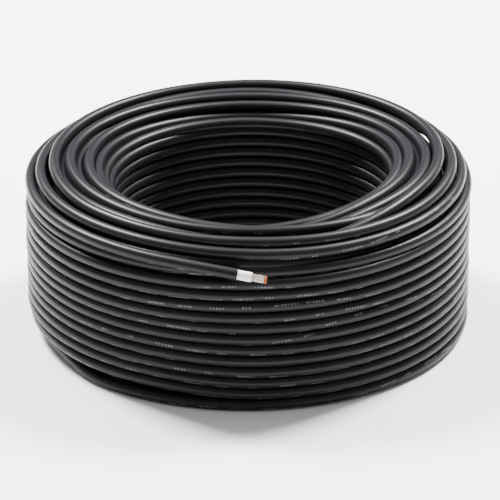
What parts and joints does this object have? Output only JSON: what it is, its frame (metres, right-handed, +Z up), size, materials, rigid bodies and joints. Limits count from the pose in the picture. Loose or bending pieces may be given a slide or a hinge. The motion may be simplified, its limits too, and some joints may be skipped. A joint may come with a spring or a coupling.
{
  "type": "solar cable coil",
  "caption": "Round coil of black single-core solar cable with an open bore and one loose end stripped to white insulation and tinned copper.",
  "frame": {"origin": "on the floor under the middle of the coil", "axes": "+Z up along the axis of the bore, -Y towards the side where the stripped end lies"},
  "size_m": [0.241, 0.241, 0.0962],
  "materials": {
    "jacket": "satin black extruded cross-linked polyolefin",
    "insulation": "satin natural white extruded insulation",
    "conductor": "fine stranded tinned copper, bright"
  },
  "bodies": {
    "root": {"cable_coil": "jacket", "loose_end": "jacket", "insulation": "insulation", "conductor": "conductor"}
  },
  "joints": []
}
